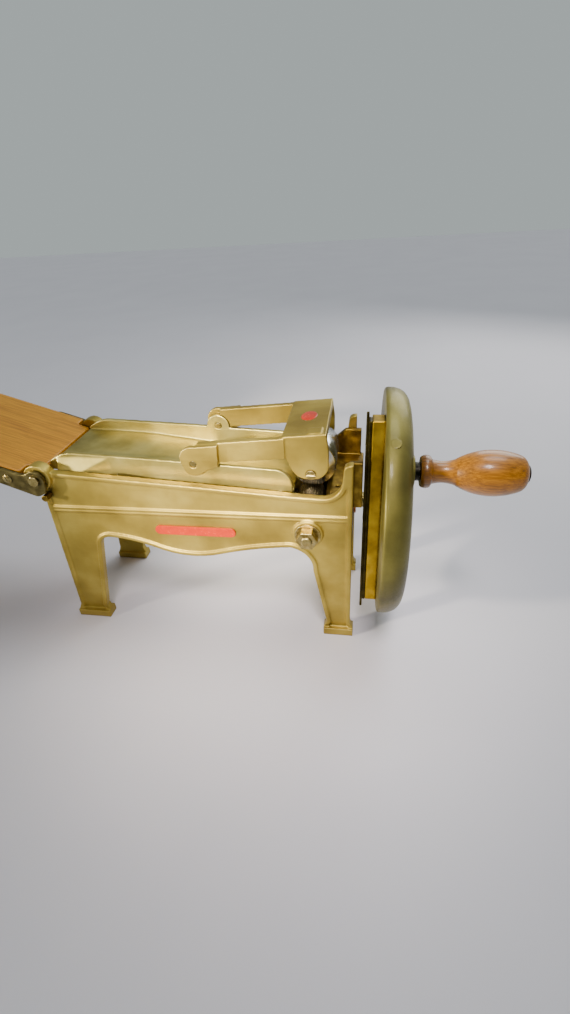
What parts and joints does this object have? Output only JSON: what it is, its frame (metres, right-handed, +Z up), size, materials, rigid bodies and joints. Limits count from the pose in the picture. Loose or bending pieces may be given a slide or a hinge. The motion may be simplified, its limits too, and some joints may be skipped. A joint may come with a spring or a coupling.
{
  "type": "rotary slicer",
  "caption": "Hand-cranked kitchen slicer: side frames carry a sloping feed trough, hinged board, press arm over a worm-driven fluted roller, and a flywheel knife.",
  "frame": {"origin": "on the table under the middle of the whole machine", "axes": "+X along the machine towards the crank, +Y away from the near side frame, +Z up"},
  "size_m": [0.6258, 0.2, 0.2455],
  "materials": {
    "cast_body": "cast and lightly polished, olive-gold tone",
    "dark_casting": "as cast, dark",
    "red_enamel": "glossy fired enamel",
    "bronze": "machined bearing bronze",
    "zinc_steel": "turned and plated",
    "board_wood": "oiled hardwood, grain along the board",
    "strap_steel": "rolled strip, dull",
    "roller_steel": "turned, bright",
    "dark_steel": "oiled, dark",
    "flywheel_paint": "smooth olive-grey lacquer",
    "knife_steel": "ground blade, dark back",
    "holder_cast": "cast, gold tone",
    "black_steel": "blacked steel",
    "grip_wood": "turned and varnished hardwood"
  },
  "bodies": {
    "frame": {"side_frame_near": "cast_body", "side_frame_far": "cast_body", "feed_trough": "cast_body", "gear_cradle": "dark_casting", "bearing_plate": "dark_casting", "mouth_plate": "dark_casting", "enamel_bar_near": "red_enamel", "enamel_bar_far": "red_enamel", "main_bush": "bronze", "inner_bush": "bronze", "cradle_studs": "zinc_steel", "stud_washers": "zinc_steel", "stud_nuts": "zinc_steel", "hinge_pins": "zinc_steel", "stop_pegs": "zinc_steel", "arm_pivot_pins": "zinc_steel"},
    "board": {"board": "board_wood", "board_strap_near": "strap_steel", "board_strap_far": "strap_steel", "strap_screws": "zinc_steel"},
    "press_arm": {"press_arm": "cast_body", "enamel_oval": "red_enamel", "roller_pin": "zinc_steel", "roller_collars": "zinc_steel"},
    "press_roller": {"press_roller": "roller_steel"},
    "feed_roller": {"feed_axle": "zinc_steel", "feed_sleeve_near": "dark_steel", "feed_sleeve_far": "dark_steel", "worm_wheel": "bronze"},
    "cutter": {"main_shaft": "zinc_steel", "worm": "dark_steel", "flywheel": "flywheel_paint", "rim_plug": "flywheel_paint", "hub_nut": "zinc_steel", "knife": "knife_steel", "knife_clamp": "dark_steel", "knife_holder": "holder_cast", "knife_screws": "zinc_steel", "crank_pin": "black_steel"},
    "grip": {"crank_grip": "grip_wood", "grip_cap": "black_steel"}
  },
  "joints": [
    {"name": "board_hinge", "type": "hinge", "parent": "frame", "child": "board", "pos_m": [-0.083, 0, 0.168], "axis": [0, 1, 0], "range_deg": [0, 60]},
    {"name": "arm_pivot", "type": "hinge", "parent": "frame", "child": "press_arm", "pos_m": [0.056, 0, 0.179], "axis": [0, -1, 0], "range_deg": [0, 100]},
    {"name": "press_roller_spin", "type": "hinge", "parent": "press_arm", "child": "press_roller", "pos_m": [0.1525, 0, 0.1695], "axis": [0, 1, 0], "continuous": true},
    {"name": "crank_spin", "type": "hinge", "parent": "frame", "child": "cutter", "pos_m": [0.2, 0, 0.123], "axis": [1, 0, 0], "continuous": true},
    {"name": "feed_roller_spin", "type": "hinge", "parent": "frame", "child": "feed_roller", "pos_m": [0.15, 0, 0.137], "axis": [0, 1, 0], "continuous": true},
    {"name": "grip_spin", "type": "hinge", "parent": "cutter", "child": "grip", "pos_m": [0.27, -0.05, 0.182], "axis": [1, 0, 0], "continuous": true}
  ],
  "couplings": [
    {"joint": "feed_roller_spin", "follows": "crank_spin", "ratio": 0.071429}
  ]
}
